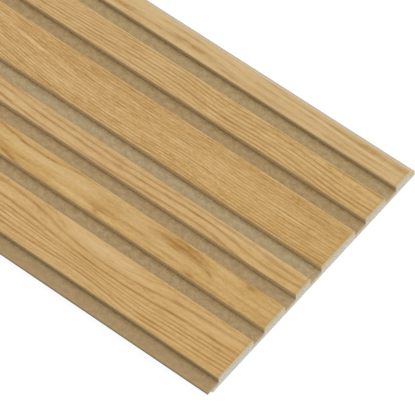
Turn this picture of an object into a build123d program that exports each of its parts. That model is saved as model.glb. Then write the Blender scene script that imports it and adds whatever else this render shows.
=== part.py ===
"""Slat wall panel: one length of stock with a stepped cross-section.

Raised slats of three widths stand on a thin base, with open grooves between
them. A thin lip overhangs one long edge and a low flange stands out of the
other, so that the lip of one panel lies on the flange of the next.

X runs along the length, Y across the slats and Z up from the flat back.
The origin is at the centre of the back.
"""

import os
from build123d import *

# Length and thickness
panel_length = 2700.0
base_thickness = 5.5
slat_height = 5.0

# Slats and grooves, in the order in which they lie across the panel
wide_slat = 41.0
medium_slat = 24.5
narrow_slat = 18.0
slat_sets = 2
groove_width = 13.0
slat_edge_radius = 0.8

# Lap joint along the two long edges
flange_reach = 5.7
lip_thickness = 1.0
lap_clearance = 0.1

# The lip covers the next panel's flange and clears it above and at the side
lip_reach = flange_reach + lap_clearance
lip_underside = base_thickness - lip_thickness
flange_thickness = lip_underside - lap_clearance

# A groove-wide strip lies before each slat, and the first one ends in the lip
slat_widths = [wide_slat, medium_slat, narrow_slat] * slat_sets
cover_width = sum(slat_widths) + groove_width * len(slat_widths)
overall_width = cover_width + flange_reach
lip_tip = -overall_width / 2
flange_tip = overall_width / 2


def slat_centres():
    """Y of each slat's middle, from the lip to the flange."""
    centres = []
    edge = lip_tip
    for width in slat_widths:
        edge += groove_width
        centres.append(edge + width / 2)
        edge += width
    return centres


with BuildPart() as slat_panel:
    with BuildSketch(Plane.YZ) as section:
        # Base with its lip, up to the far wall of the last slat
        with Locations((lip_tip, 0)):
            Rectangle(cover_width, base_thickness, align=(Align.MIN, Align.MIN))
            Rectangle(lip_reach, lip_underside, align=(Align.MIN, Align.MIN), mode=Mode.SUBTRACT)
        # Flange that carries the next panel's lip
        with Locations((flange_tip, 0)):
            Rectangle(flange_reach, flange_thickness, align=(Align.MAX, Align.MIN))
        # Raised slats, their two long edges slightly eased
        for centre, width in zip(slat_centres(), slat_widths):
            with Locations((centre, base_thickness)):
                Rectangle(width, slat_height, align=(Align.CENTER, Align.MIN))
        fillet(section.vertices().group_by(Axis.Y)[-1], slat_edge_radius)
    extrude(amount=panel_length / 2, both=True)

slat_panel.part.label = "slat_panel"

os.makedirs("parts", exist_ok=True)
export_step(slat_panel.part, "parts/slat_panel.step")
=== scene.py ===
# %% [markdown]
# # A slat wall panel in oak-look foil
#
# The object is one length of stock: a pale foamed core, pressed to a section of six raised slats with
# grooves between them, and wrapped on its face in printed foil. The slats wear an oak print and the
# grooves a plain brown-grey one. It lies flat on its back, and the camera looks down on one cut end.
#
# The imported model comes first, because everything that follows takes its place and size from it.

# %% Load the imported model
import math
import random
from dataclasses import dataclass, field

import bmesh
import bpy
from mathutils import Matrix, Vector


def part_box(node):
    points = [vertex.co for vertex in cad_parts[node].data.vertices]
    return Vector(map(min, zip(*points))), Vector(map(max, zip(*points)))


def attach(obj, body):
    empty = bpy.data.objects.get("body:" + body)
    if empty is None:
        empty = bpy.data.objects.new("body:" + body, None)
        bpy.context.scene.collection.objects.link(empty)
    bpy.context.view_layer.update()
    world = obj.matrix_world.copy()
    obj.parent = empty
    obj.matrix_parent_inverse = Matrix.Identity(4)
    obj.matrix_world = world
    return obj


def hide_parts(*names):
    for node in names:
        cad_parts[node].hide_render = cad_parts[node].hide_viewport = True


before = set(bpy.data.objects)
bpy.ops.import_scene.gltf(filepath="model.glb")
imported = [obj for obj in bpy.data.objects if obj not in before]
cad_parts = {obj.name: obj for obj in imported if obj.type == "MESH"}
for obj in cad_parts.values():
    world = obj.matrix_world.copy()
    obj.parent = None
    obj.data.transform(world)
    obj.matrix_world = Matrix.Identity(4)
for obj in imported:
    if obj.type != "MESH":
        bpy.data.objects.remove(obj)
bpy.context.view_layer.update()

# %% [markdown]
# ## Sizes
#
# The length, width and thickness are read from the model's box. The section is the stock's own: three
# slat widths, repeated, with one groove width between them, and a lap joint along the two long edges.
# They could be typed as a list of edges, but a list goes wrong as soon as one width changes, so each
# edge is worked out from the widths.

# %% Sizes of the section
mm = 0.001
lowest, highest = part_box("slat_panel")
half_length = highest.x
lip_tip = lowest.y
flange_tip = highest.y
slat_top = highest.z

slat_widths = [41.0 * mm, 24.5 * mm, 18.0 * mm] * 2
groove_width = 13.0 * mm
slat_height = 5.0 * mm
slat_edge_radius = 0.8 * mm
flange_reach = 5.7 * mm
lip_thickness = 1.0 * mm
lap_clearance = 0.1 * mm

base_thickness = slat_top - slat_height
lip_underside = base_thickness - lip_thickness
flange_thickness = lip_underside - lap_clearance
near_wall = lip_tip + flange_reach + lap_clearance
far_wall = flange_tip - flange_reach
print("length %.3f m, base %.1f mm thick" % (2 * half_length, base_thickness / mm))

# %% Places of the slats and grooves
slats = []
grooves = []
edge = lip_tip
for width in slat_widths:
    grooves.append((edge, edge + groove_width))
    slats.append((edge + groove_width, edge + groove_width + width))
    edge += groove_width + width

for near, far in slats:
    print("slat from %6.1f to %6.1f mm" % (near / mm, far / mm))
print("the last slat ends %.1f mm from the flange's tip" % ((flange_tip - edge) / mm))

# %% [markdown]
# ## The body of the stock
#
# The real panel is extruded as one piece, so it is modelled as one mesh. Its section could be drawn as
# an outline and pushed along the length, but then the whole end is one face. Here a block the size of
# the body is cut by planes instead, as on a saw bench. Every slat and groove then has its own strip of
# faces, which later wears its own foil.

# %% Start with a block
bpy.ops.object.select_all(action="DESELECT")
bpy.ops.mesh.primitive_cube_add(
    size=1,
    calc_uvs=False,
    location=(0, (near_wall + far_wall) / 2, base_thickness / 2),
    scale=(2 * half_length, far_wall - near_wall, base_thickness),
)
panel = bpy.context.object
panel.name = "foil_wrapped_panel"
panel.data.name = "foil_wrapped_panel"
bpy.ops.object.transform_apply(location=True, rotation=True, scale=True)
print("block in mm", [round(side / mm, 2) for side in panel.dimensions])

# %% Cut it into strips
def cut(place, direction):
    """Cuts the whole piece by the plane that lies at a place along a direction."""
    bpy.ops.mesh.select_all(action="SELECT")
    bpy.ops.mesh.bisect(plane_co=Vector(direction) * place, plane_no=direction)


bpy.ops.object.mode_set(mode="EDIT")
bpy.ops.mesh.select_mode(type="FACE")
cut(flange_thickness, (0, 0, 1))
cut(lip_underside, (0, 0, 1))
# The last slat ends at the block's own side, so its far edge needs no cut.
slat_edges = [place for pair in slats for place in pair]
for place in slat_edges[:-1]:
    cut(place, (0, 1, 0))

print("strips cut,", len(panel.data.polygons), "faces before the cuts and",
      len(bmesh.from_edit_mesh(panel.data).faces), "after")

# %% [markdown]
# ## Lip, flange and slats
#
# The lip is the top of the near edge drawn outwards, the flange is the bottom of the far edge, and the
# slats are strips of the top face drawn upwards. They could be blocks of their own, joined on, but the
# real stock has no joint there, and pushing faces out of the body leaves none.

# %% Pull out the lap joint and the slats
def pull(wanted, step):
    """Extrudes the faces that a test on centre and normal picks."""
    mesh = bmesh.from_edit_mesh(panel.data)
    for face in mesh.faces:
        face.select_set(wanted(face.calc_center_median(), face.normal))
    mesh.select_flush_mode()
    bmesh.update_edit_mesh(panel.data)
    picked = sum(face.select for face in mesh.faces)
    bpy.ops.mesh.extrude_region_move(TRANSFORM_OT_translate={"value": step})
    print("pulled", picked, "faces by", [round(part / mm, 2) for part in step], "mm")


def between(place, pairs):
    """True where a place lies inside one of the pairs of edges."""
    return any(near < place < far for near, far in pairs)


# A face looks along an axis when more than this much of its normal lies on it.
mostly = 0.5
pull(lambda at, way: way.y < -mostly and at.z > lip_underside, (0, lip_tip - near_wall, 0))
pull(lambda at, way: way.y > mostly and at.z < flange_thickness, (0, flange_tip - far_wall, 0))
pull(lambda at, way: way.z > mostly and between(at.y, slats), (0, 0, slat_height))

# %% [markdown]
# ## Eased slat edges
#
# The foil is rolled over the slats, which can't be done over a sharp corner, so the two long edges of
# each slat are rounded a little. Four segments are enough for so small a radius. The weighted normals
# keep the wide faces flat to the eye while the rounding between them shades softly.

# %% Round the long edges
hair = 0.01 * mm
mesh = bmesh.from_edit_mesh(panel.data)
bpy.ops.mesh.select_mode(type="EDGE")
for line in mesh.edges:
    one, other = [vertex.co for vertex in line.verts]
    on_top = min(one.z, other.z) > slat_top - hair
    line.select_set(on_top and abs(one.y - other.y) < hair)
print("rounding", sum(line.select for line in mesh.edges), "edges")
bmesh.update_edit_mesh(panel.data)
bpy.ops.mesh.bevel(offset=slat_edge_radius, segments=4, affect="EDGES")
bpy.ops.mesh.select_all(action="SELECT")
bpy.ops.mesh.normals_make_consistent(inside=False)
bpy.ops.object.mode_set(mode="OBJECT")

# %% Shade the roundings softly
sharpest_smooth_corner = math.radians(40)
bpy.ops.object.shade_smooth_by_angle(angle=sharpest_smooth_corner)
weighted = panel.modifiers.new("flat_faces", "WEIGHTED_NORMAL")
weighted.keep_sharp = True
bpy.ops.object.modifier_apply(modifier=weighted.name)
print("panel has", len(panel.data.polygons), "faces, size in mm",
      [round(side / mm, 2) for side in panel.dimensions])

# %% [markdown]
# ## Which foil each face wears
#
# A print follows the sheet that it is on, and the sheet goes down the walls of the slats. Object
# coordinates would smear the print there, so the mesh carries a map of its own, called foil, in metres:
# along the panel from its cut end, and across each strip with the walls unrolled. On the cut ends it
# holds the place across the panel and the depth under the face. A second map, OFBake, lays all strips
# side by side in one square, so that the printed slats get most of an image's pixels.

# %% Strips of the section
wood_slots = range(6)
groove_slot = 6
sawn_slot = 7
core_slot = 8
# A slat's face is its flat top, and not its rounding, when its normal points up at least this much.
level = 0.99


def strip_of(at, way):
    """The strip that a face belongs to, its slot, and a function for the place across the strip."""
    if abs(way.x) > mostly:
        top = slat_top if between(at.y, slats) else base_thickness
        return "end_%d" % (way.x > 0), sawn_slot, lambda p: top - p.z
    for slot, (near, far) in zip(wood_slots, slats):
        # The last slat's far wall goes on down to the flange.
        on_last_wall = slot == wood_slots[-1] and at.y > far - hair and at.z > flange_thickness
        if near - hair < at.y < far + hair and (at.z > base_thickness + hair or on_last_wall):
            middle = (near + far) / 2
            side = 0 if way.z > level else math.copysign(1, way.y)
            return "slat_%d" % slot, slot, lambda p: p.y - middle + side * (slat_top - p.z)
    if way.z > mostly and at.z > base_thickness - hair:
        number = [near - hair < at.y < far + hair for near, far in grooves].index(True)
        middle = sum(grooves[number]) / 2
        return "groove_%d" % number, groove_slot, lambda p: p.y - middle
    if at.y < lip_tip + hair:
        return "groove_0", groove_slot, lambda p: p.z - base_thickness - groove_width / 2
    if way.z < -mostly and at.z < hair:
        return "back", core_slot, lambda p: p.y
    if at.y < 0:
        return "near_edge", core_slot, lambda p: p.y - lip_tip + lip_underside - p.z
    return "far_edge", core_slot, lambda p: p.y - far_wall + flange_thickness - p.z


# %% Measure the strips
strips = {}
for face in panel.data.polygons:
    name, slot, across = strip_of(face.center, face.normal)
    face.material_index = slot
    places = [across(panel.data.vertices[corner].co) for corner in face.vertices]
    low, high = strips.get(name, (math.inf, -math.inf))
    strips[name] = (min(low, *places), max(high, *places))

for name, (low, high) in sorted(strips.items()):
    print("%-10s %6.1f mm across" % (name, (high - low) / mm))

# %% Give each strip its place in the square
share_of_pixels = {"slat": 1.0, "groove": 0.3, "end": 0.7, "back": 0.06, "near": 0.3, "far": 0.3}
gap = 0.6 * mm


def pixel_share(name):
    """How much of its real width a strip gets in the square."""
    return share_of_pixels[name.split("_")[0]]


starts = {}
total = 0.0
for name, (low, high) in sorted(strips.items()):
    starts[name] = total
    total += (high - low) * pixel_share(name) + gap
print(len(starts), "strips lie on", round(total / mm, 1), "mm")

# %% Write the two maps
panel.data.uv_layers.new(name="foil")
panel.data.uv_layers.new(name="OFBake")
foil_map = panel.data.uv_layers["foil"]
bake_map = panel.data.uv_layers["OFBake"]
for face in panel.data.polygons:
    name, slot, across = strip_of(face.center, face.normal)
    for corner, number in zip(face.loop_indices, face.vertices):
        point = panel.data.vertices[number].co
        along = (half_length - point.x) / (2 * half_length)
        if slot == sawn_slot:
            along = (point.y - lip_tip) / (flange_tip - lip_tip)
            foil_map.data[corner].uv = (point.y, across(point))
        else:
            foil_map.data[corner].uv = (half_length - point.x, across(point))
        placed = starts[name] + (across(point) - strips[name][0]) * pixel_share(name)
        bake_map.data[corner].uv = (along, placed / total)
foil_map.active_render = True
panel.data.uv_layers.active = foil_map
print("maps", panel.data.uv_layers.keys())

# %% [markdown]
# ## Shader maths as expressions
#
# A finish is a sum of patterns, and a sum reads best as a sum. Nodes could be added and linked one by
# one, but then the picture of the formula is lost. So a small class holds one socket, its operators add
# Math nodes, and one method adds any other node.

# %% A value in a material
class Value:
    """A socket that can be added, subtracted, multiplied and divided. A starting value has no socket."""

    def __init__(self, tree, socket=None):
        self.tree = tree
        self.socket = socket

    def node(self, kind, settings, feeds, output=0):
        """Adds a node of a kind, sets it up, feeds its sockets and gives one of its outputs.

        A colour ramp takes its stops as one of the settings.
        """
        made = self.tree.nodes.new(kind)
        for name, setting in settings.items():
            if name == "stops":
                ramp = made.color_ramp
                while len(ramp.elements) < len(setting):
                    ramp.elements.new(1.0)
                for stop, (place, colour) in zip(ramp.elements, setting):
                    stop.position = place
                    stop.color = colour
            else:
                setattr(made, name, setting)
        for name, source in feeds.items():
            if isinstance(source, Value):
                self.tree.links.new(source.socket, made.inputs[name])
            else:
                made.inputs[name].default_value = source
        return Value(self.tree, made.outputs[output])

    def maths(self, operation, *terms):
        """Adds a Math node that works on the terms, which are values or numbers, in their order."""
        return self.node("ShaderNodeMath", {"operation": operation}, dict(enumerate(terms)))

    def __add__(self, other):
        return self.maths("ADD", self, other)

    def __sub__(self, other):
        return self.maths("SUBTRACT", self, other)

    def __rsub__(self, other):
        return self.maths("SUBTRACT", other, self)

    def __mul__(self, other):
        return self.maths("MULTIPLY", self, other)

    def __truediv__(self, other):
        return self.maths("DIVIDE", self, other)

    def __rtruediv__(self, other):
        return self.maths("DIVIDE", other, self)

    __radd__ = __add__
    __rmul__ = __mul__

    def fade(self, start, end, low=0.0, high=1.0):
        """Goes smoothly from low to high while the value goes from start to end."""
        return self.node(
            "ShaderNodeMapRange",
            {"interpolation_type": "SMOOTHSTEP"},
            {"Value": self, "From Min": start, "From Max": end, "To Min": low, "To Max": high},
        )

    def bell(self, centre, reach):
        """One at the centre, falling softly to almost nothing two reaches away."""
        away = (self - centre) / reach
        return self.maths("EXPONENT", away * away * -1.0)


# %% [markdown]
# ## What all finishes share
#
# Every finish on the panel is made from a place in mm, soft noise, colours as they look in the picture,
# and tints that lie over them near an edge. These could be written out in each material, but with
# names of their own they keep the materials short, and a change is made in one place.

# %% Places on the panel
def in_mm(point, axes):
    """The parts of a point along the axes that are named, in mm."""
    apart = point.node("ShaderNodeSeparateXYZ", {}, {"Vector": point}).socket.node
    return [Value(point.tree, apart.outputs[axis]) / mm for axis in axes]


def foil_place(start, axes):
    """The place on the foil map. X goes along a strip and Y across it."""
    return in_mm(start.node("ShaderNodeUVMap", {"uv_map": "foil"}, {}), axes)


def object_place(start):
    """The place on the object."""
    return in_mm(start.node("ShaderNodeTexCoord", {}, {}, output="Object"), "XYZ")


# %% Noise
def vector(x, y, z):
    """Three values or numbers as one vector. At least one of them is a value."""
    some = next(part for part in (x, y, z) if isinstance(part, Value))
    return some.node("ShaderNodeCombineXYZ", {}, {"X": x, "Y": y, "Z": z})


def cloud(x, y, z, detail=2.0, roughness=0.5):
    """Soft noise, mostly between -1 and 1, in patches of about one unit.

    A place in mm that is divided by 60 gives patches about 60 mm long that way.
    """
    place = vector(x, y, z)
    feeds = {"Vector": place, "Scale": 1.0, "Detail": detail, "Roughness": roughness}
    return place.node("ShaderNodeTexNoise", {"normalize": False}, feeds) * 2.0


# %% Colours
sheen_of_sky = 0.028
least_light = 0.004


def paint(red, green, blue):
    """A colour from 0 to 255 as it looks here, made linear, less the sky's faint reflection."""
    levels = [((part / 255 + 0.055) / 1.055) ** 2.4 for part in (red, green, blue)]
    return tuple(max(level - sheen_of_sky, least_light) for level in levels) + (1.0,)


def mix(mask, start, end):
    """The colour start where the mask is 0 and end where it is 1."""
    sockets = {0: mask, 6: start, 7: end}
    return mask.node("ShaderNodeMix", {"data_type": "RGBA"}, sockets, output=2)


# %% A tint over part of a surface
@dataclass
class Tint:
    """A colour over another one, full at one distance in mm from what it marks and gone at another."""
    colour: tuple
    full: float
    gone: float
    strength: float = 1.0

    def over(self, ground, distance, share=1.0):
        """The ground with the tint over it, and with a share of its strength where that is given."""
        mask = distance.fade(self.full, self.gone, self.strength * share, 0.0)
        return mix(mask, ground, self.colour)


# %% Finishes
satin_gloss = 0.4


def finish(name):
    """A new material: its Principled shader, and a starting value for its patterns."""
    made = bpy.data.materials.new(name)
    made.use_nodes = True
    shader = made.node_tree.nodes["Principled BSDF"]
    return made, shader, Value(made.node_tree)


def wear(made, shader, colour, roughness, height, relief):
    """Feeds a finish's colour, roughness and relief to its shader, and puts it on the panel."""
    tree = made.node_tree
    tree.links.new(colour.socket, shader.inputs["Base Color"])
    tree.links.new(roughness.socket, shader.inputs["Roughness"])
    bump = height.node("ShaderNodeBump", {}, {"Height": height, "Strength": 1.0, "Distance": relief})
    tree.links.new(bump.socket, shader.inputs["Normal"])
    shader.inputs["Specular IOR Level"].default_value = satin_gloss
    panel.data.materials.append(made)
    print(made.name, "has", len(tree.nodes), "nodes")


# %% [markdown]
# ## Oak foil
#
# The print is photographed from real oak boards, and each slat shows another stretch of it. On a flat
# sawn board the growth rings show as lines along the board, which bow where the log tapers and close
# to flames where the saw left a ring. An image would be the maker's way. Here the print is built up as
# a grainer paints it: the ground is bent first, as the log was, then come fibres and streaks, then the
# ring lines, and then the single strokes of a flame or a mineral stain.
#
# The sheet's edges come last, because they lie over any print. The walls are greyer than the tops, with
# painted shade that is darkest at the foot. The far edge of a slat gets a painted highlight on some
# slats and painted shade on others, and the saw leaves the end dull, with a pale hairline.

# %% What makes one slat's figure
@dataclass
class Bow:
    """A place where the grain is pushed aside, in mm: how far at the near and at the far edge."""
    along: float
    reach: float
    near: float
    far: float


@dataclass
class Ring:
    """A ring line of its own: its place across the bent ground in mm, its strength and its width."""
    place: float
    depth: float = 0.8
    width: float = 0.7


@dataclass
class Stroke:
    """A single dark or pale stroke: its middle and its reach both ways in mm, and its strength."""
    along: float
    across: float
    length: float
    width: float
    depth: float
    # How steeply it crosses the slat, and how it bends away from its middle.
    climb: float = 0.0
    curve: float = 0.0
    pale: bool = False


# %% One slat's figure
uses_of_noise = [
    "sway", "fibres", "streaks", "tremble", "flecks", "pitch", "ragged", "lines", "rings", "clouds",
]


@dataclass
class Figure:
    """The figure of one slat. Places across go from the slat's middle to its far side, in mm."""
    seed: int
    body: tuple
    # The even ring lines: their pitch, the place of one, and their strength at the two edges.
    pitch: float
    first_line: float
    near_lines: float
    far_lines: float
    line_width: float = 0.6
    faintest_line: float = 0.2
    unevenness: float = 0.15
    # How far the ground sways, how much each noise tints it, and how long the fibres are.
    sway: float = 0.3
    streaks: float = 0.25
    fibres: float = 0.25
    flecks: float = 0.2
    clouds: float = 0.12
    fibre_length: float = 12.0
    # Painted warm light at the cut end, painted shade on the walls, and painted shade and highlight at
    # the far edge.
    warm_end: float = 0.12
    wall_shade: float = 0.0
    far_edge_shade: float = 0.0
    far_edge_glint: float = 0.4
    # What shows in one place only.
    bows: list = field(default_factory=list)
    rings: list = field(default_factory=list)
    strokes: list = field(default_factory=list)

    def noise(self, use, x, y, detail=2.0, roughness=0.5):
        """Noise for one use, cut from the solid noise at a height of its own."""
        height = self.seed + uses_of_noise.index(use) / 10
        return cloud(x, y, height, detail, roughness)


# %% Where the grain bows
print_length = 940.0
first_unseen_bow = 420.0
end_without_bows = 60.0
unseen_reaches = (35, 80)
unseen_near_pushes = (-5, 5)
unseen_far_pushes = (-11, 11)
unseen_gaps = (1.6, 2.6)


def all_bows(figure):
    """The bows seen at the cut end, and more of them at random along the rest of the print."""
    chance = random.Random(figure.seed)
    bows = list(figure.bows)
    place = first_unseen_bow
    while place < print_length - end_without_bows:
        reach = chance.uniform(*unseen_reaches)
        near = chance.uniform(*unseen_near_pushes)
        far = chance.uniform(*unseen_far_pushes)
        bows.append(Bow(place, reach, near, far))
        place += chance.uniform(*unseen_gaps) * reach
    return bows


# %% Bend the ground
def share_across(place, half_width):
    """A place across the slat, as 0 at its near edge and 1 at its far edge."""
    return place / (2 * half_width) + 0.5


def bent_ground(u, v, half_width, figure):
    """The place along the print, and the place across the slat before the grain was bent."""
    printed = u.maths("WRAP", u, print_length, 0.0)
    to_far = share_across(v, half_width)
    to_far = to_far.maths("MAXIMUM", to_far, 0.0)
    to_far = to_far * to_far
    bent = v
    for bow in all_bows(figure):
        push = to_far * (bow.far - bow.near) + bow.near
        bent = bent - push * printed.bell(bow.along, bow.reach)
    sway = figure.noise("sway", u / 60.0, v / 20.0, detail=1.0)
    tremble = figure.noise("tremble", u / 14.0, v / 4.0, detail=1.0)
    return printed, bent - (sway + tremble * 0.5) * figure.sway


# %% Ring lines
softness_where_lines_meet = 0.1


def even_rings(u, g, half_width, figure):
    """Dark lines at an even pitch across the ground, each with its own strength."""
    rings = (g - figure.first_line) / figure.pitch
    rings = rings + figure.noise("pitch", rings / 2.1, u / 150.0, detail=1.0) * figure.unevenness
    to_line = rings.maths("PINGPONG", rings, 0.5) * 2.0
    strength = figure.noise("lines", rings / 0.9, u / 45.0)
    strength = strength.fade(-0.8, 0.5, figure.faintest_line, 1.0)
    edge_strength = share_across(g, half_width).fade(0.0, 1.0, figure.near_lines, figure.far_lines)
    return to_line.fade(0.0, figure.line_width, 1.0, 0.0) * strength * edge_strength


def single_rings(lines, u, g, figure):
    """The lines so far, with the figure's own ring lines over them where those are darker."""
    for ring in figure.rings:
        strength = figure.noise("rings", u / 30.0, ring.place) * 0.3 + 0.9
        line = g.bell(ring.place, ring.width) * strength * ring.depth
        lines = lines.maths("SMOOTH_MAX", lines, line, softness_where_lines_meet)
    return lines


# %% Colour of the ground
pale_oak = paint(222, 194, 148)
deep_oak = paint(170, 128, 70)
# Painted warm light: the oak is warmer towards the cut end.
painted_warm_light = Tint(paint(202, 162, 66), full=0.0, gone=230.0)


def ground_colour(u, v, g, fibres, figure):
    """The oak between its lines: streaks, fibres and flecks about the body colour, with painted warm
    light towards the cut end.
    """
    flecks = figure.noise("flecks", u / 2.6, g / 0.8, detail=1.0)
    streaks = figure.noise("streaks", u / 110.0, g / 4.0)
    clouds = figure.noise("clouds", u / 50.0, v / 12.0)
    tone = streaks * figure.streaks + fibres * figure.fibres
    tone = tone + flecks * figure.flecks + clouds * figure.clouds
    stops = [(0.0, deep_oak), (0.5, figure.body), (1.0, pale_oak)]
    colour = tone.node("ShaderNodeValToRGB", {"stops": stops}, {"Fac": tone * 0.5 + 0.5})
    return painted_warm_light.over(colour, u, figure.warm_end)


# %% Single strokes
flame_oak = paint(159, 111, 20)


def stroke_mask(stroke, printed, v):
    """One in the middle of a stroke, fading out along it and across it."""
    from_middle = printed - stroke.along
    across = stroke.across
    if stroke.climb:
        across = from_middle * stroke.climb + across
    if stroke.curve:
        across = from_middle * from_middle * stroke.curve + across
    return printed.bell(stroke.along, stroke.length) * v.bell(across, stroke.width)


def add_strokes(colour, u, v, printed, figure):
    """The colour with the figure's strokes over it, ragged along their edges."""
    ragged = figure.noise("ragged", u / 9.0, v / 1.6) * 0.35 + 0.9
    for stroke in figure.strokes:
        stain = stroke_mask(stroke, printed, v) * ragged * stroke.depth
        colour = mix(stain.maths("MINIMUM", stain, 1.0), colour, pale_oak if stroke.pale else flame_oak)
    return colour


# %% Tints of a slat's edges and walls, with painted shade and highlights
# Painted shade and a painted highlight on the far edge's rounding.
painted_far_edge_shade = Tint(paint(172, 138, 88), full=0.0, gone=1.6)
painted_far_edge_highlight = Tint(paint(224, 192, 140), full=0.2, gone=1.2)
grey_wall = Tint(paint(194, 174, 136), full=1.3, gone=0.0, strength=0.65)
# Painted shade down the walls, darkest at the foot.
shaded_wall = Tint(paint(100, 84, 56), full=3.0, gone=-0.3)
painted_wall_foot_shade = Tint(paint(70, 54, 32), full=0.0, gone=1.1, strength=0.36)
dull_cut = Tint(paint(170, 149, 114), full=0.3, gone=3.8, strength=0.5)
pale_hairline = Tint(paint(236, 218, 184), full=0.2, gone=1.3, strength=0.34)


def tint_edges(colour, u, v, half_width, figure):
    """The colour with the far edge's painted highlight and shade, the walls' grey and painted shade, and
    the saw cuts' tints over it.
    """
    to_far_edge = half_width - v
    down_wall = v.maths("ABSOLUTE", v) - half_width
    up_wall = slat_height / mm - down_wall
    # The grey of the near wall starts on the rounding, and that of the far wall below it.
    into_grey = down_wall - v.fade(-1.0, 1.0, -0.5, 0.7)
    from_saw = u.maths("MINIMUM", u, 2 * half_length / mm - u)

    colour = painted_far_edge_shade.over(colour, to_far_edge, figure.far_edge_shade)
    colour = painted_far_edge_highlight.over(colour, to_far_edge, figure.far_edge_glint)
    colour = grey_wall.over(colour, into_grey)
    colour = shaded_wall.over(colour, down_wall, figure.wall_shade)
    colour = painted_wall_foot_shade.over(colour, up_wall)
    colour = dull_cut.over(colour, from_saw)
    return pale_hairline.over(colour, from_saw)


# %% Oak foil for one slat
line_oak = paint(150, 106, 50)


def oak_foil(name, width, figure):
    """One slat's foil, from the bent ground up to the sheet's edges."""
    made, shader, start = finish(name)
    u, v = foil_place(start, "XY")
    half_width = width / mm / 2
    printed, g = bent_ground(u, v, half_width, figure)
    lines = single_rings(even_rings(u, g, half_width, figure), u, g, figure)
    fibres = figure.noise("fibres", u / figure.fibre_length, g / 0.9, roughness=0.6)

    colour = ground_colour(u, v, g, fibres, figure)
    colour = mix(lines.maths("MINIMUM", lines, 1.0), colour, line_oak)
    colour = add_strokes(colour, u, v, printed, figure)
    colour = tint_edges(colour, u, v, half_width, figure)
    height = 0.6 - lines * 0.3 + fibres * 0.2
    roughness = 0.48 + lines * 0.1 + fibres * 0.04
    wear(made, shader, colour, roughness, height, relief=0.04 * mm)


# %% [markdown]
# ## The six figures
#
# Each slat's figure is set down as a grainer would note it from the real boards: the pitch of its ring
# lines, the bows, and the single strokes with their places. They could all be left to chance, but then
# no slat would look like the real one. Past the photographed stretch the bows are left to chance.

# %% The figures by name
figures = {}

# %% The wide slat at the near edge
# Ring lines of its own, which a strong bow pushes together beside a pale patch.
figures["oak_foil_wide_near"] = Figure(
    seed=1, body=paint(211, 173, 116), pitch=3.2, first_line=0.9, near_lines=0.3, far_lines=0.0,
    streaks=0.2, wall_shade=0.46, far_edge_glint=0.6,
    bows=[Bow(133, 44, 11, -23), Bow(122, 58, -10.5, -6), Bow(22, 42, -2, -3)],
    rings=[
        Ring(16.3, 0.66, 1.7),
        Ring(6.0, 0.72, 1.3),
        Ring(1.0, 0.58, 0.7),
        Ring(-2.1, 0.6, 0.6),
        Ring(-5.0, 0.6, 0.6),
        Ring(-8.9, 0.66, 0.9),
        Ring(-12.3, 0.68, 0.9),
        Ring(-16.0, 0.45),
    ],
    strokes=[
        Stroke(62, 18, 40, 0.9, 0.25),
        Stroke(25, 20, 12, 1.2, 0.3),
        Stroke(135, 13.5, 36, 5.0, 0.45, pale=True),
        Stroke(38, 13, 40, 6.0, 0.14, pale=True),
        Stroke(160, 7.1, 18, 1.0, 0.35, climb=0.1),
        Stroke(122, 4.9, 18, 0.8, 0.25),
        Stroke(88, 7.3, 9, 1.2, 0.35, climb=-0.14),
        Stroke(135, -14, 42, 7.0, 0.16, pale=True),
    ],
)

# %% The medium slat near the front
# A flame of dark strokes on a plain ground, and an arc further on.
figures["oak_foil_medium_near"] = Figure(
    seed=2, body=paint(203, 166, 105), pitch=7.0, first_line=2.0, near_lines=0.08, far_lines=0.1,
    streaks=0.3, fibres=0.15, warm_end=0.0, far_edge_shade=0.1, far_edge_glint=0.15,
    bows=[Bow(100, 34, 1, 5), Bow(232, 34, 0, -5)],
    strokes=[
        # The flame.
        Stroke(93, 5.4, 26, 4.2, 0.58, climb=0.01, curve=-0.002),
        Stroke(113, -4.5, 13, 5.0, 0.17),
        Stroke(98, 5.9, 19, 0.9, 0.75, climb=0.03),
        Stroke(88, 9.2, 22, 1.2, 0.6, climb=0.02, curve=-0.004),
        Stroke(93, 2.3, 15, 0.9, 0.5, curve=-0.002),
        Stroke(69, 1.4, 9, 1.2, 0.45, climb=0.12),
        Stroke(74, 3.4, 9, 2.2, 0.6, climb=0.16),
        Stroke(77, 6.2, 8, 2.6, 0.3),
        Stroke(61, -0.4, 4, 1.3, 0.7, climb=0.3),
        # Pale ground beside it.
        Stroke(132, 5.5, 14, 4.0, 0.35, pale=True),
        Stroke(210, 5, 75, 5, 0.32, pale=True),
        Stroke(102, -3.8, 22, 1.2, 0.35, curve=-0.003, pale=True),
        # Past the flame, on the near half.
        Stroke(152, -2.8, 34, 1.6, 0.3),
        Stroke(158, -4.8, 20, 2.6, 0.25),
        Stroke(160, -6.1, 13, 0.9, 0.6),
        Stroke(163, -8.6, 3, 1.8, 0.5),
        Stroke(126, -3.4, 9, 1.4, 0.35),
        # Along the near edge.
        Stroke(74, -10.0, 6, 1.6, 0.75),
        Stroke(50, -10.4, 16, 1.2, 0.45),
        Stroke(101, -10.3, 7, 0.9, 0.45),
        # Towards the cut end.
        Stroke(29, 8.8, 6, 2.2, 0.65),
        Stroke(35, 11.2, 7, 1.0, 0.5),
        Stroke(28, -3.6, 26, 1.0, 0.25, climb=0.05),
        Stroke(10, -4.8, 11, 1.0, 0.35),
        # The arc further on, and the strokes about it.
        Stroke(233, 6.5, 38, 1.0, 0.85, curve=0.0026),
        Stroke(254, 8.3, 8, 1.1, 0.55, climb=0.15),
        Stroke(231, 6.5, 9, 0.9, 0.45),
        Stroke(190, 10.3, 22, 0.9, 0.4),
        Stroke(246, -9.6, 14, 1.3, 0.75, climb=0.2),
        Stroke(250, -7.6, 9, 2.6, 0.35, climb=0.2),
        Stroke(215, -11.6, 22, 1.2, 0.4),
        # Beyond the photographed stretch.
        Stroke(520, 2.0, 24, 1.2, 0.8, curve=-0.006),
        Stroke(700, -3.0, 18, 1.2, 0.6, curve=0.006),
    ],
)

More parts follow.
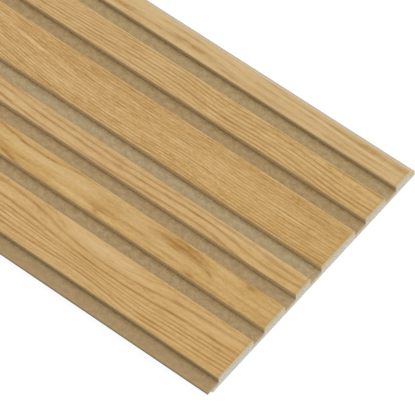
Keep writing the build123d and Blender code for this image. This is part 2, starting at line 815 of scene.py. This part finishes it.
# %% The narrow slat near the front
# Three ring lines that wave gently, with pale strokes between them.
figures["oak_foil_narrow_near"] = Figure(
    seed=3, body=paint(209, 173, 121), pitch=2.4, first_line=0.0, near_lines=0.15, far_lines=0.1,
    streaks=0.15, warm_end=0.18, far_edge_glint=0.2,
    bows=[Bow(96, 49, 3.6, 2.2), Bow(331, 70, 5.3, 5.6), Bow(40, 40, -3.6, 2.7)],
    rings=[Ring(3.9, 0.52, 0.9), Ring(-1.0, 0.62, 1.0), Ring(-7.7, 0.56, 1.1)],
    strokes=[
        Stroke(78, 3.4, 34, 1.0, 0.4, pale=True),
        Stroke(60, 7.6, 40, 1.2, 0.35, pale=True),
        Stroke(43, 5.0, 22, 2.4, 0.3, pale=True),
        Stroke(18, 3.0, 9, 0.7, 0.3, climb=0.04),
        Stroke(15, -2, 22, 6, 0.08),
        Stroke(200, 2.4, 30, 1.2, 0.35, pale=True),
        Stroke(176, 3.2, 10, 0.9, 0.4),
        Stroke(140, 5.1, 24, 0.8, 0.3),
        Stroke(206, 4.4, 14, 0.8, 0.12),
        Stroke(242, 5.5, 14, 0.8, 0.25),
        Stroke(135, -5.5, 22, 0.9, 0.35, climb=-0.03),
    ],
)

# %% The wide slat behind the middle
# Fine lines at a narrow pitch, with broad shades and thin pale strokes.
figures["oak_foil_wide_far"] = Figure(
    seed=4, body=paint(207, 169, 111), pitch=2.46, first_line=-11.2, near_lines=0.62, far_lines=0.38,
    line_width=0.65, faintest_line=0.45, unevenness=0.12, sway=0.15,
    fibres=0.38, fibre_length=18.0, flecks=0.32, streaks=0.15, clouds=0.06,
    bows=[Bow(140, 32, 2.2, 0.3), Bow(0, 30, 1.2, 0.0), Bow(345, 60, 10, 8)],
    rings=[Ring(-18.6, 0.7, 0.9)],
    strokes=[
        # Broad shades and one broad pale stretch.
        Stroke(25, 14, 55, 7, 0.26),
        Stroke(130, 14, 60, 7, 0.17),
        Stroke(245, 14, 70, 8, 0.27),
        Stroke(20, -6, 30, 12, 0.1),
        Stroke(265, 0, 45, 5, 0.14),
        Stroke(290, -10, 70, 12, 0.12, pale=True),
        # Thin strokes, most of them pale.
        Stroke(42, -0.5, 36, 0.6, 0.85, pale=True),
        Stroke(112, 0.6, 30, 0.6, 0.6, pale=True),
        Stroke(70, 2.8, 60, 0.9, 0.3, pale=True),
        Stroke(10, 8.0, 14, 0.8, 0.35),
        Stroke(35, 13.6, 26, 0.7, 0.3),
        Stroke(120, -7.6, 70, 0.5, 0.3, pale=True),
        Stroke(215, 7.6, 20, 0.6, 0.4, pale=True),
        Stroke(292, 5.4, 40, 0.7, 0.85, climb=0.11, pale=True),
    ],
)

# %% The medium slat at the back
# Even lines, the strongest of all.
figures["oak_foil_medium_far"] = Figure(
    seed=5, body=paint(208, 173, 118), pitch=3.02, first_line=-0.93, near_lines=0.72, far_lines=0.64,
    faintest_line=0.5, unevenness=0.16, sway=0.2, fibres=0.28, streaks=0.1,
    wall_shade=0.08, far_edge_glint=0.9,
    bows=[Bow(145, 33, -3.6, -2.5), Bow(12, 78, -7.0, 1.0), Bow(332, 80, -4.2, -12.5)],
    rings=[Ring(-0.93, 0.6, 0.9)],
    strokes=[Stroke(50, -7, 38, 6, 0.15), Stroke(255, -3, 30, 9, 0.08)],
)

# %% The narrow slat at the far edge
# Nearly plain, with soft streaks and a few strokes.
figures["oak_foil_narrow_far"] = Figure(
    seed=6, body=paint(209, 178, 127), pitch=3.6, first_line=-1.0, near_lines=0.06, far_lines=0.04,
    streaks=0.36, fibres=0.13, flecks=0.12, warm_end=0.0,
    wall_shade=0.32, far_edge_shade=0.42, far_edge_glint=0.0,
    bows=[Bow(215, 60, 4, 2)],
    strokes=[
        Stroke(80, 5.9, 42, 1.1, 0.34, climb=0.012),
        Stroke(37, 6.1, 9, 1.8, 0.46),
        Stroke(7, 5.3, 7, 2.2, 0.46),
        Stroke(127, 8.0, 11, 0.8, 0.5),
        Stroke(50, -0.9, 40, 0.8, 0.3, climb=0.03),
        Stroke(198, -1.0, 32, 2.5, 0.6, climb=0.01, curve=-0.002),
        Stroke(232, -2.8, 28, 0.9, 0.38),
        Stroke(125, -4.5, 50, 3.5, 0.2),
        Stroke(215, 4.6, 40, 2.4, 0.36, pale=True),
        Stroke(66, 2.9, 52, 1.1, 0.8, climb=0.028, pale=True),
        Stroke(264, -3.9, 14, 1.0, 0.5),
        Stroke(160, -5.7, 18, 1.1, 0.42, climb=0.07),
        # Beyond the photographed stretch.
        Stroke(540, 3.0, 22, 2.0, 0.4),
        Stroke(760, -4.0, 30, 1.4, 0.4),
    ],
)

# %% Put the oak foils on
for (name, figure), width in zip(figures.items(), slat_widths):
    oak_foil(name, width, figure)

# %% [markdown]
# ## Groove foil
#
# The grooves wear a plain foil without grain, mottled like paper. The mottling reads the object's own
# coordinates, because the grooves would all show the same blotches if each strip started from nought.
# The sheets come from different batches, so the grooves differ a little in tone. Each has a painted warm
# reflection along its near side, is dull at the saw cut and has painted shade in its corners. The first
# one has painted shade towards the thin lip and on the lip's edge. One flat brown would do from afar,
# but not beside the oak.

# %% Tones of the groove foil, with its painted shade and reflection
groove_foil_tones = (paint(166, 141, 102), paint(186, 161, 121))
other_batches = {
    3: (paint(173, 153, 117), paint(193, 172, 135)),
    4: (paint(164, 138, 97), paint(184, 158, 116)),
    5: (paint(169, 145, 103), paint(189, 165, 122)),
}
batch_reach = 8.0
batch_strength = 0.8
# Painted shade on the first groove towards the lip.
painted_shade_near_lip = Tint(paint(160, 134, 96), full=4.0, gone=16.0, strength=0.45)
sawn_groove = Tint(paint(174, 163, 145), full=0.0, gone=2.6, strength=0.6)
# Painted reflection: warm light from the nearer slat's wall along each groove's near side.
painted_bounce_near_side = Tint(paint(208, 168, 108), full=0.0, gone=4.0, strength=0.2)
# Painted shade in the corners, along the lip's top edge and on the lip's outer face.
painted_corner_shade = Tint(paint(70, 58, 40), full=0.0, gone=1.2, strength=0.19)
painted_lip_border_shade = Tint(paint(104, 96, 80), full=0.1, gone=1.8, strength=0.35)
painted_lip_face_shade = Tint(paint(56, 46, 32), full=0.3, gone=0.0, strength=0.9)
print("grooves of other batches:", sorted(other_batches))

# %% Mottled ground of the grooves
def groove_ground(blend, y):
    """The dark and the pale tone of each groove's batch, blended."""
    colour = mix(blend, *groove_foil_tones)
    for number, tones in other_batches.items():
        middle = sum(grooves[number]) / 2 / mm
        colour = mix(y.bell(middle, batch_reach) * batch_strength, colour, mix(blend, *tones))
    return colour


# %% Groove foil
def groove_foil():
    """The grooves' foil, from its mottling to its painted reflection and the painted shade in its
    corners and at the lip.
    """
    made, shader, start = finish("groove_foil")
    x, y, z = object_place(start)
    [across] = foil_place(start, "Y")
    half_groove = groove_width / mm / 2
    from_lip = y - lip_tip / mm
    from_saw = half_length / mm - x.maths("ABSOLUTE", x)
    from_near_side = across + half_groove
    to_wall = half_groove - across.maths("ABSOLUTE", across)
    below_floor = base_thickness / mm - z

    mottle = cloud(x / 5.0, y / 4.0, 1.0, detail=3.0, roughness=0.6)
    fibres = cloud(x / 1.6, y / 0.9, 2.0, detail=1.0)
    colour = groove_ground(mottle * 0.4 + fibres * 0.35 + 0.5, y)
    colour = painted_shade_near_lip.over(colour, from_lip)
    colour = sawn_groove.over(colour, from_saw)
    colour = painted_bounce_near_side.over(colour, from_near_side)
    colour = painted_corner_shade.over(colour, to_wall)
    colour = painted_lip_border_shade.over(colour, from_lip)
    colour = painted_lip_face_shade.over(colour, below_floor)
    roughness = 0.55 + mottle * 0.05
    wear(made, shader, colour, roughness, height=mottle + fibres, relief=0.03 * mm)


groove_foil()

# %% [markdown]
# ## Bare core
#
# The core is a foamed polymer. The saw opens its cells, so the cut ends are dull and finely pitted and a
# little yellow from the glue just under the foil, with painted shade under the grooves. The back and the
# lap edges keep the skin of the extrusion, with faint draw lines along the length, and the flange's rim
# has a painted shadow. Both could be one finish, but a saw cut and a skin catch light differently, so
# there are two.

# %% Cut ends
glue_yellow = Tint(paint(248, 226, 184), full=0.4, gone=7.5)
painted_shade_under_groove = Tint(paint(164, 155, 138), full=0.2, gone=2.2, strength=0.45)
foil_edge = Tint(paint(206, 180, 132), full=0.15, gone=0.5, strength=0.25)


def sawn_core():
    """The sawn ends: pitted, yellow under the foil, with painted shade under the grooves."""
    made, shader, start = finish("sawn_core")
    x, y, z = object_place(start)
    [depth] = foil_place(start, "Y")
    from_lip = y - lip_tip / mm
    face_above = z + depth

    cells = cloud(y / 0.35, z / 0.35, x)
    saw = cloud(y / 1.6, z / 9.0, x)
    blend = cells * 0.3 + saw * 0.25 + 0.5
    colour = mix(blend, paint(239, 235, 223), paint(251, 249, 241))
    # The glue shows more from the second slat on.
    glue = from_lip.fade(40.0, 75.0, 0.6, 0.95)
    colour = glue_yellow.over(colour, depth, glue)
    # One where the face above is a groove's floor, and nought where it is a slat's top.
    under_groove = face_above.fade(base_thickness / mm + 1.0, slat_top / mm - 1.0, 1.0, 0.0)
    # Painted shade on the cut end just under each groove's floor.
    colour = painted_shade_under_groove.over(colour, depth, under_groove)
    colour = foil_edge.over(colour, depth)
    roughness = 0.75 + cells * 0.05
    wear(made, shader, colour, roughness, height=cells + saw * 0.5, relief=0.08 * mm)


sawn_core()

# %% Back and lap edges
brown_flange = Tint(paint(208, 187, 149), full=0.0, gone=0.1, strength=0.75)
# Painted shadow: the flange's top darkens along its rim.
painted_flange_rim_shadow = Tint(paint(150, 132, 104), full=0.0, gone=0.8, strength=0.6)


def moulded_core():
    """The core's own skin, with draw lines along the length, browner on the flange, and a painted shadow
    along the flange's rim.
    """
    made, shader, start = finish("moulded_core")
    x, y, z = object_place(start)
    to_flange = far_wall / mm - y
    to_flange_tip = flange_tip / mm - y

    draw_lines = cloud(x / 90.0, y / 0.9, z / 0.9, detail=3.0)
    blotches = cloud(x / 30.0, y / 22.0, z / 10.0)
    blend = draw_lines * 0.25 + blotches * 0.3 + 0.5
    colour = mix(blend, paint(226, 220, 206), paint(238, 234, 223))
    colour = brown_flange.over(colour, to_flange)
    colour = painted_flange_rim_shadow.over(colour, to_flange_tip)
    roughness = 0.55 + draw_lines * 0.06
    wear(made, shader, colour, roughness, height=draw_lines, relief=0.05 * mm)


moulded_core()

# %% [markdown]
# ## The piece takes its place
#
# The panel is one body, so the mesh rides on it and stands for the whole CAD solid.

# %% Hand the piece over
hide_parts("slat_panel")
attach(panel, "root")
print(panel.name, "wears", len(panel.data.materials), "finishes")

# %% [markdown]
# ## Floor and light
#
# The panel lies on a white sweep under soft light from all round. A ring of lamps would do, but so
# large and even a light is simply the sky of the scene, so the world lights it, and one wide sun gives
# the slats a side. The floor shows white to the camera and keeps a trace of the panel's shadow.

# %% What looks straight at the studio
def seen_directly(start):
    """One where the camera, a mirror or clear glass looks, and nought for light on its way."""
    looks = ["Is Camera Ray", "Is Glossy Ray", "Is Transmission Ray"]
    camera, mirror, glass = [start.node("ShaderNodeLightPath", {}, {}, output=look) for look in looks]
    return start.maths("MAXIMUM", start.maths("MAXIMUM", camera, mirror), glass)


# %% Floor
floor_grey = (0.5, 0.5, 0.5, 1.0)
white = (1.0, 1.0, 1.0, 1.0)
floor_size = 60.0
floor_gap = 0.1 * mm
floor_glow = 1.2
share_of_glow = 0.75

bpy.ops.object.select_all(action="DESELECT")
bpy.ops.mesh.primitive_plane_add(size=floor_size, location=(0, 0, -floor_gap))
floor = bpy.context.object
floor.name = "studio_floor"
floor_finish, shader, start = finish("studio_floor")
shader.inputs["Base Color"].default_value = floor_grey
shader.inputs["Specular IOR Level"].default_value = 0.0
matt = Value(start.tree, shader.outputs[0])
glow = start.node("ShaderNodeEmission", {}, {"Color": white, "Strength": floor_glow})
glowing = seen_directly(start) * share_of_glow
surface = start.node("ShaderNodeMixShader", {}, {0: glowing, 1: matt, 2: glow})
floor_output = floor_finish.node_tree.nodes["Material Output"]
start.tree.links.new(surface.socket, floor_output.inputs[0])
floor.data.materials.append(floor_finish)
print("floor glows", floor_glow, "for", share_of_glow, "of its look")

# %% Light from all round
sky_strength = 0.85
sky = bpy.data.worlds.new("white_studio")
bpy.context.scene.world = sky
sky.use_nodes = True
start = Value(sky.node_tree)
strength = seen_directly(start) * (1.0 - sky_strength) + sky_strength
background = sky.node_tree.nodes["Background"]
background.inputs["Color"].default_value = white
sky.node_tree.links.new(strength.socket, background.inputs["Strength"])
print("sky", sky_strength)

# %% A wide sun
towards_sun = Vector((0.3, 0.4, 0.86))
sun_strength = 0.55
sun_spread = math.radians(50)

sun_data = bpy.data.lights.new("wide_sun", "SUN")
sun_data.energy = sun_strength
sun_data.angle = sun_spread
sun = bpy.data.objects.new("wide_sun", sun_data)
bpy.context.scene.collection.objects.link(sun)
sun.rotation_euler = towards_sun.to_track_quat("Z", "Y").to_euler()
print("sun", sun_strength)

# %% [markdown]
# ## Camera
#
# The picture is taken from far off with a long lens, so the slats run almost parallel. The camera is
# placed by what it looks at: a point on the slat tops near the cut end, an azimuth, an elevation and a
# distance.

# %% Camera
camera_azimuth = math.radians(38.39)
camera_elevation = math.radians(56.015)
camera_distance = 3.0621
looked_at_from_end = 99.22 * mm
looked_at_from_lip = 125.02 * mm
looked_at = Vector((half_length - looked_at_from_end, lip_tip + looked_at_from_lip, slat_top))

back = Vector((
    math.sin(camera_azimuth) * math.cos(camera_elevation),
    -math.cos(camera_azimuth) * math.cos(camera_elevation),
    math.sin(camera_elevation),
))
camera_data = bpy.data.cameras.new("long_lens")
camera_data.sensor_width = 36.0
camera_data.lens = 356.6
camera = bpy.data.objects.new("long_lens", camera_data)
bpy.context.scene.collection.objects.link(camera)
camera.location = looked_at + back * camera_distance
camera.rotation_euler = back.to_track_quat("Z", "Y").to_euler()
bpy.context.scene.camera = camera
bpy.context.scene.view_settings.view_transform = "Standard"
print("camera at", [round(part, 4) for part in camera.location])
